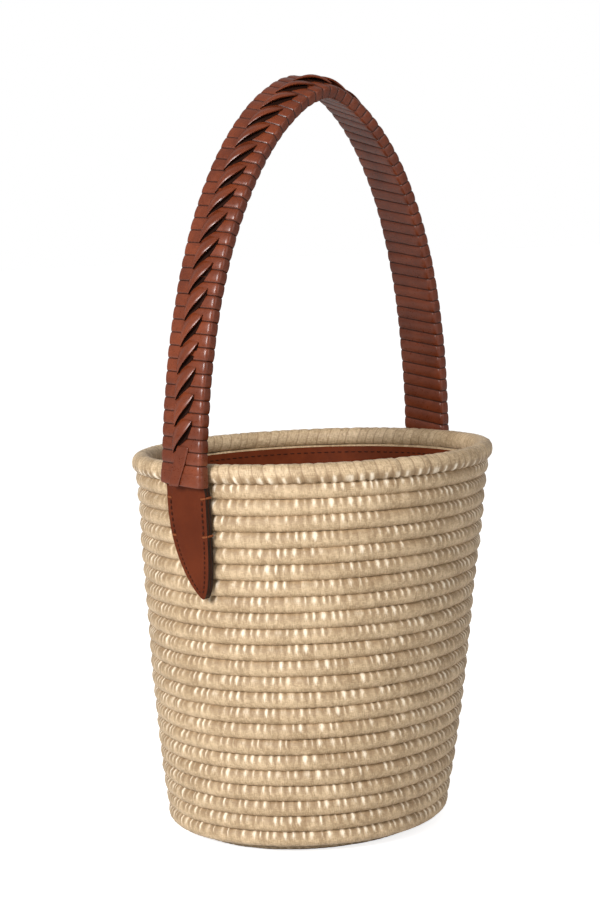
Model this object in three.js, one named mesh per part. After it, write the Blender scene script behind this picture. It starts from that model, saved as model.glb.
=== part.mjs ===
// Bucket bag: a coiled sisal bucket with a leather lining, and a tall arch handle of laced leather
// that ends in two leather tabs sewn to the outside of the wall.
// Millimetres, +Z up. The origin is on the standing surface, under the middle of the rim.
// The handle's arch stands along the XZ plane, with its near end at -X and its far end at +X.
import * as THREE from "three";

// Sisal bucket
const COURSES = 23; // wall courses between the base and the rim coil
const WALL_BOTTOM = 5.8; // groove under the lowest wall course
const WALL_TOP = 241.8; // groove between the top course and the rim coil
const WALL_THICKNESS = 10.2;
const GROOVE_DEPTH = 1.6;
const RIM_RADIUS = 115; // outer radius of the top course
const BASE_RADIUS = 93; // outer radius of the lowest course
const EVEN_TAPER = 0.46; // share of the taper that is even; the rest comes in near the base
const TAPER_POWER = 2.5;
const FOOT_TUCK = 6.4; // how far the lowest course curves in under the bag
const RIM_COIL = 5.6; // radius of the thicker coil that finishes the edge
const RIM_PROUD = 1.5; // how far that coil stands out from the wall
const BASE_THICKNESS = 9.5;
const BASE_CLEARANCE = 1.2; // between the base and the wall's inner face

// The mouth has settled into a slight oval, longest across the handle.
const OVAL = 0.052; // share added to the mouth's depth
const OVAL_START = 150; // height at which the wall starts to widen
const OVAL_FULL = 250;

// The courses are sewn by hand, and each one sits a little to one side of the one below.
// The handle leans the same way, but less. Each value is a sideways shift per unit of height.
const BASKET_LEAN = [0.036, -0.04];
const HANDLE_LEAN = [0.027, -0.03];

// Leather lining
const LINING = 1.2;
const LINING_TOP = WALL_TOP - 0.8; // the lining ends just under the rim coil
const LINING_STITCH_DROP = 4; // from the lining's top edge down to its stitch row

// Handle: two leather layers, wound with a flat lace
const STRAP_WIDTH = 31;
const LAYER = 2.5; // thickness of one strap layer
const LACED_WIDTH = 35;
const LACED_THICKNESS = 8.2;
const HANDLE_Y = -2; // the handle and its tabs are sewn on a little off the middle
const HANDLE_FOOT = [121.2, 241.5];
const HANDLE_SHOULDER = [117.5, 442];
const HANDLE_CROWN_X = 27;
const HANDLE_TOP_Z = 490; // middle line at the top of the arch
const CROWN_ROLL = 0.3; // radians by which the worn strap tips over at the top of the arch
const END_TURN = 8; // height of the last turn of lace
const BRAID_WIDTH = 11;
const BRAID_HEIGHT = 2.4;
const LACE_END = 24; // length of the tucked-down lace end
const LACE = 1.4; // thickness of the lace

// Tabs that hold the handle on the wall
const TAB_TOP_Z = 235;
const TAB_TOP_X = 115.8; // inner face at the tab's top edge
const TAB_LENGTH = 66;
const TAB_WIDTH = 34;
const TAB_LAYER = 2.2;
const TAB_TIP_SHIFT = 13; // the tip lies towards one side, so that side is nearly straight
const TAB_TILT = THREE.MathUtils.degToRad(2.9); // follows the taper of the wall
const SEAM_INSET = 3.2;
const SEWN_SHARE = 0.4; // share of the tab's length that is lashed to the wall
const TIP_SHARPNESS = 2.4; // how late the tab's sides turn in towards its tip
const TIP_ROUNDNESS = 0.68; // lower values make the tip blunter

const THREAD = 0.45; // radius of the sewing thread
const GAP = 0.3; // between pieces that touch
const ROUND_SEGMENTS = 48;
const COIL_SIDES = 12;
const THREAD_SIDES = 6;
const PROFILE_STATIONS = 6;
const TAB_STATIONS = 12;
const ARCH_STEP = 8; // length of one straight piece of the bent handle

const sisal = { color: 0xd8c6a0, roughness: 0.75, metalness: 0 };
const cognacLeather = { color: 0x7c3a22, roughness: 0.45, metalness: 0 };
const darkLeather = { color: 0x5e2b1a, roughness: 0.5, metalness: 0 };
const liningLeather = { color: 0x7a3420, roughness: 0.55, metalness: 0 };
const waxedThread = { color: 0x9a4a28, roughness: 0.6, metalness: 0 };

// A group that leans, and stays in place at the height of the wall's top.
function leaningGroup([leanX, leanY]) {
  const group = new THREE.Group();
  group.matrixAutoUpdate = false;
  group.matrix.makeShear(0, 0, 0, 0, leanX, leanY);
  group.matrix.setPosition(-leanX * WALL_TOP, -leanY * WALL_TOP, 0);
  return group;
}

const bag = new THREE.Group();
const basket = leaningGroup(BASKET_LEAN);
const handle = leaningGroup(HANDLE_LEAN);
bag.add(basket, handle);

function add(parent, name, geometry, finish) {
  const piece = new THREE.Mesh(geometry, new THREE.MeshStandardMaterial(finish));
  piece.name = name;
  parent.add(piece);
  return piece;
}

function range(count, formula) {
  return Array.from({ length: count }, (_, index) => formula(index));
}

// Moves every corner of a shape: `change` gets the corner and alters it in place.
function reshape(geometry, change) {
  const corners = geometry.getAttribute("position");
  const corner = new THREE.Vector3();
  for (let index = 0; index < corners.count; index += 1) {
    change(corner.fromBufferAttribute(corners, index));
    corners.setXYZ(index, ...corner);
  }
  return geometry;
}

function widenMouth(corner) {
  const share = (corner.z - OVAL_START) / (OVAL_FULL - OVAL_START);
  corner.y *= 1 + OVAL * THREE.MathUtils.clamp(share, 0, 1);
}

// A ring or disc about Z from a closed outline of [radius, height] pairs, listed anticlockwise.
function turned(outline) {
  const points = outline.map(([radius, height]) => new THREE.Vector2(radius, height));
  const lathe = new THREE.LatheGeometry(points, ROUND_SEGMENTS);
  return reshape(lathe.rotateX(Math.PI / 2), widenMouth);
}

function circleOutline(radius, height, section, sides) {
  return range(sides + 1, (index) => {
    const angle = (2 * Math.PI * (index % sides)) / sides;
    return [radius + section * Math.cos(angle), height + section * Math.sin(angle)];
  });
}

// Outer radius of the bucket: straight near the rim and drawn in more strongly near the base.
function wallRadius(height) {
  const down = (WALL_TOP - height) / WALL_TOP;
  const taper = EVEN_TAPER * down + (1 - EVEN_TAPER) * down ** TAPER_POWER;
  return RIM_RADIUS - (RIM_RADIUS - BASE_RADIUS) * taper;
}

function insideRadius(height) {
  return wallRadius(height) - WALL_THICKNESS;
}

function stations(bottom, top) {
  return range(PROFILE_STATIONS, (index) => bottom + ((top - bottom) * index) / (PROFILE_STATIONS - 1));
}

// Wall: a stack of round courses with a groove between each two, and a plain inner face.
function wallCoil() {
  const coursePitch = (WALL_TOP - WALL_BOTTOM) / COURSES;
  const outside = range(COURSES, (index) => {
    const groove = WALL_BOTTOM + index * coursePitch;
    const crown = groove + coursePitch / 2;
    return [
      [wallRadius(groove) - GROOVE_DEPTH, groove],
      [wallRadius(crown), crown],
    ];
  }).flat();
  const foot = GAP;
  const top = WALL_TOP - GAP;
  const inside = stations(foot, top).reverse();
  const outline = [
    [insideRadius(foot), foot],
    [wallRadius(foot) - FOOT_TUCK, foot],
    ...outside,
    [wallRadius(top) - GROOVE_DEPTH, top],
    ...inside.map((height) => [insideRadius(height), height]),
  ];
  return turned(outline);
}

function baseCoil() {
  const radius = insideRadius(BASE_THICKNESS) - BASE_CLEARANCE;
  return turned([
    [0, 0],
    [radius - GROOVE_DEPTH, 0],
    [radius, BASE_THICKNESS / 2],
    [radius - GROOVE_DEPTH, BASE_THICKNESS],
    [0, BASE_THICKNESS],
  ]);
}

add(basket, "base_coil", baseCoil(), sisal);
add(basket, "wall_coil", wallCoil(), sisal);
add(
  basket,
  "rim_coil",
  turned(circleOutline(RIM_RADIUS + RIM_PROUD - RIM_COIL, WALL_TOP + RIM_COIL, RIM_COIL, COIL_SIDES)),
  sisal,
);

// Lining: an open leather sleeve against the wall, and a disc on the base, each with its seam thread.
const liningFoot = BASE_THICKNESS + GAP;
const liningHeights = stations(liningFoot, LINING_TOP);

function liningOutside(height) {
  return insideRadius(height) - 2 * GAP;
}

function liningWall() {
  const up = liningHeights.map((height) => [liningOutside(height), height]);
  const down = liningHeights.map((height) => [liningOutside(height) - LINING, height]).reverse();
  return turned([...up, ...down, up[0]]);
}

const discRadius = liningOutside(liningFoot) - LINING - GAP;

function liningSeam(height, clearance) {
  return turned(circleOutline(liningOutside(height) - LINING - clearance, height, THREAD, THREAD_SIDES));
}

add(basket, "lining_wall", liningWall(), liningLeather);
add(
  basket,
  "lining_base",
  turned([
    [0, liningFoot],
    [discRadius, liningFoot],
    [discRadius, liningFoot + LINING],
    [0, liningFoot + LINING],
  ]),
  liningLeather,
);
add(basket, "lining_top_stitching", liningSeam(LINING_TOP - LINING_STITCH_DROP, THREAD + GAP), waxedThread);
add(basket, "lining_base_stitching", liningSeam(liningFoot + LINING + THREAD + GAP, THREAD + GAP), waxedThread);

// Middle line of the strap, in the arch's own plane: two equal legs, nearly upright from the foot
// to the shoulder, that meet in a narrow round top.
const leg = new THREE.CubicBezierCurve(
  new THREE.Vector2(...HANDLE_FOOT),
  new THREE.Vector2(...HANDLE_SHOULDER),
  new THREE.Vector2(HANDLE_CROWN_X, HANDLE_TOP_Z),
  new THREE.Vector2(0, HANDLE_TOP_Z),
);
const archLength = 2 * leg.getLength();

// Point and direction of the middle line, at a distance along it from the near end.
function archAt(along) {
  const near = along < archLength / 2;
  const share = THREE.MathUtils.clamp((near ? along : archLength - along) * (2 / archLength), 0, 1);
  const point = leg.getPointAt(share);
  const direction = leg.getTangentAt(share);
  if (near) {
    point.x *= -1;
    direction.x *= -1;
  } else {
    direction.negate();
  }
  return { point, direction };
}

// Bends a straight bar over the arch. Along the bar, Z is the distance from the near end, X is the
// side (towards +Y), and Y is the outward height. Near the top the section rolls towards -Y.
function bendOverArch(corner) {
  const { point, direction } = archAt(corner.z);
  const roll = CROWN_ROLL * Math.sin((Math.PI * corner.z) / archLength) ** 4;
  const side = corner.x * Math.cos(roll) - corner.y * Math.sin(roll);
  const outward = corner.x * Math.sin(roll) + corner.y * Math.cos(roll);
  corner.set(point.x - direction.y * outward, side + HANDLE_Y, point.y + direction.x * outward);
}

// A section of a bar: its width, and how far outward its inner and outer faces lie.
function section(width, inner, outer) {
  const half = width / 2;
  return new THREE.Shape([
    new THREE.Vector2(-half, inner),
    new THREE.Vector2(half, inner),
    new THREE.Vector2(half, outer),
    new THREE.Vector2(-half, outer),
  ]);
}

function alongArch(shape, from, to, step) {
  const steps = Math.max(2, Math.round((to - from) / step));
  const straight = new THREE.ExtrudeGeometry(shape, { depth: to - from, steps, bevelEnabled: false });
  return reshape(straight.translate(0, 0, from), bendOverArch);
}

// A turn, or a run of turns, of lace: a flat tube around both strap layers.
function lacedSection() {
  const tube = section(LACED_WIDTH, -LACED_THICKNESS / 2, LACED_THICKNESS / 2);
  const hollow = section(STRAP_WIDTH + 2 * GAP, -LAYER - 2 * GAP, LAYER + 2 * GAP);
  tube.holes.push(hollow);
  return tube;
}

const lacedFace = LACED_THICKNESS / 2 + GAP;
const bar = section(BRAID_WIDTH, lacedFace, lacedFace + LACE);
const ridge = section(BRAID_WIDTH, lacedFace, lacedFace + BRAID_HEIGHT);
const outerLayer = section(STRAP_WIDTH, GAP / 2, GAP / 2 + LAYER);
const innerLayer = section(STRAP_WIDTH, -GAP / 2 - LAYER, -GAP / 2);
const lacingStart = END_TURN + GAP;
const braidStart = LACE_END + GAP;

add(handle, "strap_outer_layer", alongArch(outerLayer, 0, archLength, ARCH_STEP), darkLeather);
add(handle, "strap_inner_layer", alongArch(innerLayer, 0, archLength, ARCH_STEP), darkLeather);
add(
  handle,
  "handle_lacing",
  alongArch(lacedSection(), lacingStart, archLength - lacingStart, ARCH_STEP),
  cognacLeather,
);
add(handle, "handle_braid", alongArch(ridge, braidStart, archLength - braidStart, ARCH_STEP), cognacLeather);
for (const [end, start] of [
  ["near", 0],
  ["far", archLength],
]) {
  const inward = start === 0 ? 1 : -1;
  const turnEnds = [start, start + inward * END_TURN].sort((a, b) => a - b);
  const laceEnds = [start, start + inward * LACE_END].sort((a, b) => a - b);
  add(handle, end + "_end_turn", alongArch(lacedSection(), ...turnEnds, END_TURN), cognacLeather);
  add(handle, end + "_lace_end", alongArch(bar, ...laceEnds, END_TURN), cognacLeather);
}

// Tab outline at a share of its length from the straight top edge (0) to the tip (1).
function tabMiddle(down) {
  return TAB_TIP_SHIFT * down ** 2;
}

function tabHalfWidth(down) {
  return (TAB_WIDTH / 2) * (1 - down ** TIP_SHARPNESS) ** TIP_ROUNDNESS;
}

function edgePoint(side, down) {
  return new THREE.Vector2(tabMiddle(down) + side * tabHalfWidth(down), -down * TAB_LENGTH);
}

function tabOutline() {
  const shares = range(TAB_STATIONS, (index) => index / TAB_STATIONS);
  const left = shares.map((down) => edgePoint(-1, down));
  const right = shares.map((down) => edgePoint(1, down)).reverse();
  return new THREE.Shape([...left, edgePoint(0, 1), ...right]);
}

// One leather layer of a tab, with its thickness pointing away from the wall.
function tabLayer() {
  const plate = new THREE.ExtrudeGeometry(tabOutline(), { depth: TAB_LAYER, bevelEnabled: false });
  return plate.rotateY(Math.PI / 2).rotateX(Math.PI / 2);
}

const threadSection = new THREE.Shape(
  circleOutline(0, 0, THREAD, THREAD_SIDES)
    .slice(0, THREAD_SIDES)
    .map(([x, y]) => new THREE.Vector2(x, y)),
);

// A run of thread on the tab's face, through points given as [sideways, share of the length].
function threadRun(places) {
  const lift = 2 * TAB_LAYER + 2 * GAP + THREAD;
  const points = places.map(([sideways, down]) => new THREE.Vector3(lift, sideways, -down * TAB_LENGTH));
  return new THREE.ExtrudeGeometry(threadSection, {
    extrudePath: new THREE.CatmullRomCurve3(points),
    steps: 3 * points.length,
    bevelEnabled: false,
  });
}

function seamPlace(side, down) {
  return [tabMiddle(down) + side * (tabHalfWidth(down) - SEAM_INSET), down];
}

// The lashing runs down each side to the sewn share, and the edge seam goes round the tip from there.
const SEAM_TURN = 0.94; // where the edge seam turns round the tip
const lashedShares = [0.05, 0.17, 0.28, SEWN_SHARE - 0.02];
const stitchedShares = [SEWN_SHARE + 0.04, 0.6, 0.74, 0.86];

function edgeSeamPlaces() {
  const down = stitchedShares.map((share) => seamPlace(-1, share));
  const up = stitchedShares.map((share) => seamPlace(1, share)).reverse();
  const turn = [tabMiddle(SEAM_TURN), SEAM_TURN];
  return [...down, turn, ...up];
}

function lashingPlaces(side) {
  return lashedShares.map((share) => seamPlace(side, share));
}

for (const [end, turn] of [
  ["near", Math.PI],
  ["far", 0],
]) {
  const side = new THREE.Group();
  side.position.y = HANDLE_Y;
  side.rotation.z = turn;
  const tab = new THREE.Group();
  tab.position.set(TAB_TOP_X, 0, TAB_TOP_Z);
  tab.rotation.y = TAB_TILT;
  side.add(tab);
  basket.add(side);
  add(tab, end + "_tab_backing", tabLayer(), darkLeather);
  const face = add(tab, end + "_tab_face", tabLayer(), cognacLeather);
  face.position.x = TAB_LAYER + GAP;
  add(tab, end + "_tab_edge_stitching", threadRun(edgeSeamPlaces()), waxedThread);
  add(tab, end + "_tab_left_lashing", threadRun(lashingPlaces(-1)), waxedThread);
  add(tab, end + "_tab_right_lashing", threadRun(lashingPlaces(1)), waxedThread);
}

export default bag;
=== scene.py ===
"""Bucket bag: a coiled sisal bucket with a leather lining and a tall arch handle of laced leather.

Metres, in the part's own frame: the arch stands along the XZ plane, its near end at -X and far end at +X.
"""

import math

import bpy
import numpy as np
from mathutils import Matrix, Vector


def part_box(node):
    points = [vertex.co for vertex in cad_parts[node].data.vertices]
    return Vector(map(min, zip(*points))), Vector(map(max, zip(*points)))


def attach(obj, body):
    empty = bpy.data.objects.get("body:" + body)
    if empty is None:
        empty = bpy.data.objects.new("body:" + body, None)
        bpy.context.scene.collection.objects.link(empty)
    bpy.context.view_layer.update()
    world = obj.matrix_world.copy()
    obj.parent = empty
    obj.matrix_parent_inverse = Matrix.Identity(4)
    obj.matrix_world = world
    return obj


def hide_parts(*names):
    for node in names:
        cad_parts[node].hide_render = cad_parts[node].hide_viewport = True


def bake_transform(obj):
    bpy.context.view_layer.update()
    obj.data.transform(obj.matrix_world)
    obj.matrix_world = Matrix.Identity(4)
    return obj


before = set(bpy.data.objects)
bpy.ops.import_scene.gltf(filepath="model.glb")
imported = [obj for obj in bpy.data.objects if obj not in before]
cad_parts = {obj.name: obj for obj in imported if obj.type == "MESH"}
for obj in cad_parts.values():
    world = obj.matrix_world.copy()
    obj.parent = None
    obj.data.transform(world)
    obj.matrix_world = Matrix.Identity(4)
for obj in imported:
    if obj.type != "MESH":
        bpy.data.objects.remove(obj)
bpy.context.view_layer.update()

MM = 0.001


# --- Base -------------------------------------------------------------------------------------------
# The bottom is a flat spiral of sisal cord, sewn row to row. Each row is a bundle of straw bound with
# flat strands that cross it side by side, and their heads stand up in a row of knots with a painted
# highlight.
CORD_WIDTH = 10.26 * MM
CORD = 5.45 * MM  # half a row's height, with the little that it presses into its neighbours
STRAND_WIDTH = 5.5 * MM
COLUMNS = 8  # mesh columns across one strand
STRANDS_APART = 400  # more than one row's strands, so that rows near each other don't share their tones
SQUARENESS = 2.4  # power of the section's outline: 2 is round, and more is squarer
KNOT_SPREAD = 0.74  # radians round the section
# Width of the painted shade in the grooves where rows meet.
GROOVE_SHADE_SPREAD = 0.4  # radians round the section
STRAW_DARK = (0.32, 0.210, 0.105, 1)
STRAW_LIGHT = (0.64, 0.475, 0.290, 1)
# Painted highlight: the pale colour that the knot heads are mixed toward, as if lit.
STRAW_HIGHLIGHT = (0.92, 0.81, 0.645, 1)
STRAW_SHADE = (0.23, 0.135, 0.058, 1)
GROOVE_SHADE = (0.075, 0.038, 0.015, 1)

chance = np.random.default_rng(23)

# The rows are sewn a little to one side of each other, so the bag leans. Nothing moves at the rim.
rim_low, rim_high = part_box("rim_coil")
base_low, base_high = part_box("base_coil")


def leaning(lean_x, lean_y):
    return Matrix(
        (
            (1, 0, lean_x, -lean_x * rim_low.z),
            (0, 1, lean_y, -lean_y * rim_low.z),
            (0, 0, 1, 0),
            (0, 0, 0, 1),
        )
    )


run = (rim_low + rim_high - base_low - base_high) / 2
leans = {"basket": leaning(run.x / run.z, run.y / run.z), "handle": leaning(0.027, -0.03)}

# The mouth has settled into a slight oval, longest across the handle.
OVAL_START = 150 * MM
OVAL_FULL = 250 * MM
OVAL = (rim_high.y - rim_low.y) / (rim_high.x - rim_low.x) - 1


def widened(x, y, z):
    share = np.clip((z - OVAL_START) / (OVAL_FULL - OVAL_START), 0, 1)
    return np.stack([x, y * (1 + OVAL * share), z], 1)


def read_points(piece):
    points = np.empty(len(piece.data.vertices) * 3)
    piece.data.vertices.foreach_get("co", points)
    return points.reshape(-1, 3)


def write_points(piece, points):
    piece.data.vertices.foreach_set("co", points.astype(np.float32).ravel())
    piece.data.update()


def only(piece):
    bpy.ops.object.select_all(action="DESELECT")
    piece.select_set(True)
    bpy.context.view_layer.objects.active = piece
    return piece


def join(parts, name):
    only(parts[0])
    for part in parts:
        part.select_set(True)
    bpy.ops.object.join()
    parts[0].name = name
    parts[0].data.name = name
    return parts[0]


def finish_piece(piece, finishes, nodes, body):
    """Gives a piece its materials, its lean, and its place in the assembly."""
    only(piece)
    bpy.ops.object.shade_smooth_by_angle(angle=math.radians(50))
    for finish in finishes:
        if finish.name not in piece.data.materials:
            piece.data.materials.append(finish)
    piece.data.transform(leans[body or "basket"])
    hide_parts(*nodes)
    if body:
        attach(piece, body)
    return piece


def write_uv(piece, across, along, across_turn=None, along_turn=None):
    """A UV map from values at the vertices. A face over the join of a ring keeps its own run of values."""
    loops = np.empty(len(piece.data.loops), np.int32)
    piece.data.loops.foreach_get("vertex_index", loops)
    starts = np.empty(len(piece.data.polygons), np.int32)
    sizes = np.empty(len(piece.data.polygons), np.int32)
    piece.data.polygons.foreach_get("loop_start", starts)
    piece.data.polygons.foreach_get("loop_total", sizes)
    face = np.repeat(np.arange(len(starts)), sizes)
    values = []
    for value, turn in ((across, across_turn), (along, along_turn)):
        value = value[loops].copy()
        if turn:
            highest = np.full(len(starts), -1e9)
            np.maximum.at(highest, face, value)
            value[highest[face] - value > turn / 2] += turn
        values.append(value)
    layer = piece.data.uv_layers.get("UVMap") or piece.data.uv_layers.new(name="UVMap")
    layer.data.foreach_set("uv", np.stack(values, 1).astype(np.float32).ravel())


rows_laid = 0


def cord_row(
    radius, height, cord, sides, valleys, knot, knot_at, slant, strand_width=STRAND_WIDTH, flat=1.0, loose=0
):
    """One row of bound cord. Its strands' heads stand up by knot at the angle knot_at on the section, and
    valleys are the angles at which it is sewn to its neighbours. Strands lie over by slant, and the row's
    inner side is pressed in to the share flat. Loose strands stand apart from each other."""
    global rows_laid
    strands = max(12, round(2 * math.pi * radius / strand_width))
    bpy.ops.mesh.primitive_torus_add(
        major_radius=radius,
        minor_radius=cord,
        major_segments=strands * COLUMNS,
        minor_segments=sides,
        generate_uvs=True,
    )
    row = bpy.context.object
    x, y, z = read_points(row).T
    around = np.arctan2(y, x)
    section = np.arctan2(z, np.hypot(x, y) - radius)
    strand = (strands * (around / (2 * math.pi) + 0.5) + 1e-4) % strands - 1e-4
    which = np.floor(strand + 1e-3).astype(int) % strands
    share = strand - np.floor(strand + 1e-3)

    power = CORD / cord * SQUARENESS
    outline = (np.abs(np.cos(section)) ** power + np.abs(np.sin(section)) ** power) ** (-1 / power)
    rib = 1 - np.abs(2 * share - 1) ** 3
    crown = np.exp(-(((section - knot_at) / KNOT_SPREAD) ** 4))
    head = np.sin(math.pi * np.clip((share - 0.10) / 0.72, 0, 1)) * chance.uniform(0.6, 1, strands)[which]
    ridge = (0.32 + 0.3 * loose) * MM * rib * np.clip(np.cos(section) + loose, 0, 1)
    bound = cord * outline + ridge + knot * crown * head
    out = bound * np.cos(section)
    out[out < 0] *= flat
    up = bound * np.sin(section)

    def wander(size):
        turns = np.arange(2, 8)
        tilt = chance.uniform(0, 2 * math.pi, len(turns))
        weight = chance.normal(0, size, len(turns)) / np.sqrt(turns)
        local = chance.normal(0, size * 0.5, strands)
        smooth = np.interp(strand, np.arange(strands + 1), np.append(local, local[0]))
        return (weight * np.sin(around[:, None] * turns + tilt)).sum(1) + smooth

    drift = chance.normal(0, 0.16, strands)
    drift = np.interp(strand, np.arange(strands + 1), np.append(drift, drift[0]))
    turned = around + 2 * math.pi / strands * drift - slant * np.sin(section) / radius
    reach = radius + wander(0.16 * MM) + out
    level = height + wander(0.12 * MM) + up
    write_points(row, widened(reach * np.cos(turned), reach * np.sin(turned), level))
    write_uv(row, strand + STRANDS_APART * (rows_laid % 12), section / (2 * math.pi) + 0.5, strands, 1)
    marks = {
        "knot": crown * head,
        # Painted shade: the colour is darkened beside the knot heads near the crown.
        "between": crown * (1 - head),
        # Painted shade: the grooves where the row meets its neighbours are darkened.
        "valley": sum(np.exp(-(((section - angle) / GROOVE_SHADE_SPREAD) ** 2)) for angle in valleys),
        "loose": np.full(len(section), float(loose)),
    }
    for name, value in marks.items():
        row.data.attributes.new(name, "FLOAT", "POINT").data.foreach_set("value", value.astype(np.float32))
    rows_laid += 1
    return row


def add_node(tree, kind, inputs=(), **settings):
    """Adds a shader node. Inputs are (socket, value or output to link) pairs."""
    made = tree.nodes.new("ShaderNode" + kind)
    for name, value in settings.items():
        setattr(made, name, value)
    for name, value in inputs:
        if isinstance(value, bpy.types.NodeSocket):
            tree.links.new(value, made.inputs[name])
        else:
            made.inputs[name].default_value = value
    return made


def math_node(tree, operation, *values):
    return add_node(tree, "Math", enumerate(values), operation=operation).outputs[0]


def spread(tree, value, low, high, to_low=0.0, to_high=1.0):
    """Maps a value smoothly from one range to another."""
    ends = (("From Min", low), ("From Max", high), ("To Min", to_low), ("To Max", to_high))
    return add_node(tree, "MapRange", (("Value", value), *ends), interpolation_type="SMOOTHSTEP").outputs[0]


def mix_colour(tree, share, first, second):
    mixed = add_node(tree, "Mix", ((0, share), (6, first), (7, second)), data_type="RGBA")
    return mixed.outputs[2]


def noise_at(tree, place, scale, detail, roughness=0.5):
    noise = (("Vector", place), ("Scale", scale), ("Detail", detail), ("Roughness", roughness))
    return add_node(tree, "TexNoise", noise).outputs[0]


def new_material(name, roughness, specular, sheen=0.0):
    material = bpy.data.materials.new(name)
    material.use_nodes = True
    tree = material.node_tree
    shader = tree.nodes["Principled BSDF"]
    shader.inputs["Roughness"].default_value = roughness
    shader.inputs["Specular IOR Level"].default_value = specular
    shader.inputs["Sheen Weight"].default_value = sheen
    return material, tree, shader


def uv_of(tree):
    uv = add_node(tree, "UVMap", uv_map="UVMap").outputs["UV"]
    parts = add_node(tree, "SeparateXYZ", (("Vector", uv),)).outputs
    return parts["X"], parts["Y"]


def sisal_finish():
    material, tree, shader = new_material("sisal", 0.48, 0.65, sheen=0.05)
    across, along = uv_of(tree)
    place = add_node(tree, "TexCoord").outputs["Object"]
    strand = math_node(tree, "FLOOR", across)
    share = math_node(tree, "FRACT", across)
    tint = add_node(tree, "TexWhiteNoise", (("W", strand),), noise_dimensions="1D").outputs["Value"]

    def streaks(fine, long, detail):
        fine_across = math_node(tree, "MULTIPLY", across, fine)
        long_along = math_node(tree, "MULTIPLY", along, long)
        stretch = add_node(tree, "CombineXYZ", (("X", fine_across), ("Y", long_along)))
        return noise_at(tree, stretch.outputs[0], 1.0, detail, 0.6)

    fibre = streaks(14.0, 9.0, 5.0)
    stray = streaks(1.6, 90.0, 3.0)
    patches = noise_at(tree, place, 34.0, 3.0, 0.65)
    flecks = noise_at(tree, place, 420.0, 3.0, 0.65)
    tone = math_node(tree, "MULTIPLY", tint, 0.12)
    for weight, part in ((0.8, fibre), (0.6, stray), (0.35, patches), (0.55, flecks)):
        tone = math_node(tree, "ADD", tone, math_node(tree, "MULTIPLY", part, weight))
    colour = mix_colour(tree, spread(tree, tone, 0.96, 1.44), STRAW_DARK, STRAW_LIGHT)

    def attribute(name):
        return add_node(tree, "Attribute", attribute_name=name).outputs["Fac"]

    ragged = math_node(tree, "MULTIPLY", math_node(tree, "SUBTRACT", fibre, 0.5), 0.5)
    # Painted shade: beside the knot heads, and in the creases between strands, deeper for loose strands.
    between = spread(tree, math_node(tree, "ADD", attribute("between"), ragged), 0.30, 0.80, 0.0, 0.66)
    colour = mix_colour(tree, between, colour, STRAW_SHADE)
    # Painted highlight: the knot heads are mixed toward a pale colour, as if lit from above.
    painted_highlight = spread(tree, math_node(tree, "ADD", attribute("knot"), ragged), 0.34, 0.86, 0.0, 0.88)
    colour = mix_colour(tree, painted_highlight, colour, STRAW_HIGHLIGHT)
    edge = math_node(tree, "ABSOLUTE", math_node(tree, "SUBTRACT", share, 0.5))
    crease = spread(tree, math_node(tree, "MULTIPLY_ADD", ragged, 0.12, edge), 0.38, 0.5)
    depth = math_node(tree, "MULTIPLY_ADD", attribute("loose"), 0.42, 0.13)
    colour = mix_colour(tree, math_node(tree, "MULTIPLY", crease, depth), colour, STRAW_SHADE)
    # Painted shade: the grooves between rows are mixed toward a dark brown.
    sewn = math_node(tree, "ADD", attribute("valley"), math_node(tree, "MULTIPLY", ragged, 0.7))
    colour = mix_colour(tree, spread(tree, sewn, 0.26, 0.70), colour, GROOVE_SHADE)
    tree.links.new(colour, shader.inputs["Base Color"])
    tree.links.new(spread(tree, fibre, 0.2, 0.8, 0.60, 0.42), shader.inputs["Roughness"])

    height = math_node(tree, "ADD", fibre, math_node(tree, "MULTIPLY", stray, 0.7))
    height = math_node(tree, "SUBTRACT", height, math_node(tree, "MULTIPLY", crease, 0.4))
    bump = add_node(tree, "Bump", (("Strength", 0.8), ("Distance", 0.45 * MM), ("Height", height)))
    tree.links.new(bump.outputs["Normal"], shader.inputs["Normal"])
    return material


sisal = sisal_finish()

base_radius = (base_high.x - base_low.x) / 2
base_rows = []
base_count = int(base_radius / CORD_WIDTH)
for index in range(base_count):
    base_row = cord_row(
        base_radius - CORD_WIDTH * (index + 0.46),
        height=base_high.z / 2,
        cord=0.46 * base_high.z,
        sides=10,
        valleys=(0, math.pi),
        knot=0.1 * MM,
        knot_at=-1.2,
        slant=0.5 * MM,
    )
    base_rows.append(base_row)
base_rows = join(base_rows, "base_rows")
finish_piece(base_rows, [sisal], ["base_coil"], "basket")


# --- Wall -------------------------------------------------------------------------------------------
# The same cord goes on up in 23 rows, each one a little wider than the last. The wall is straight near
# the rim and draws in more strongly near the base. The grooves between the rows are painted dark as shade.
ROWS = 23
WALL_FOOT = 5.8 * MM  # groove under the lowest row
WALL_TOP = rim_low.z
ROW_PITCH = (WALL_TOP - WALL_FOOT) / ROWS
TOP_RADIUS = 115 * MM
FOOT_RADIUS = 93 * MM
EVEN_TAPER = 0.46  # share of the taper that is even up the wall; the rest gathers near the base


def wall_radius(height):
    down = (WALL_TOP - height) / WALL_TOP
    return TOP_RADIUS - (TOP_RADIUS - FOOT_RADIUS) * (EVEN_TAPER * down + (1 - EVEN_TAPER) * down**2.5)


def wall_row(index):
    height = WALL_FOOT + (index + 0.5) * ROW_PITCH
    return cord_row(
        wall_radius(height) - CORD - 0.2 * MM,
        height=height,
        cord=CORD,
        sides=12,
        valleys=(-math.pi / 2, math.pi / 2),
        knot=0.34 * MM,
        knot_at=0.62,
        slant=0.9 * MM,
        flat=0.85,
    )


for name, first, last in (
    ("wall_rows_lower", 0, 8),
    ("wall_rows_middle", 8, 16),
    ("wall_rows_upper", 16, ROWS),
):
    rows = join([wall_row(index) for index in range(first, last)], name)
    finish_piece(rows, [sisal], ["wall_coil"], "basket")


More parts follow.
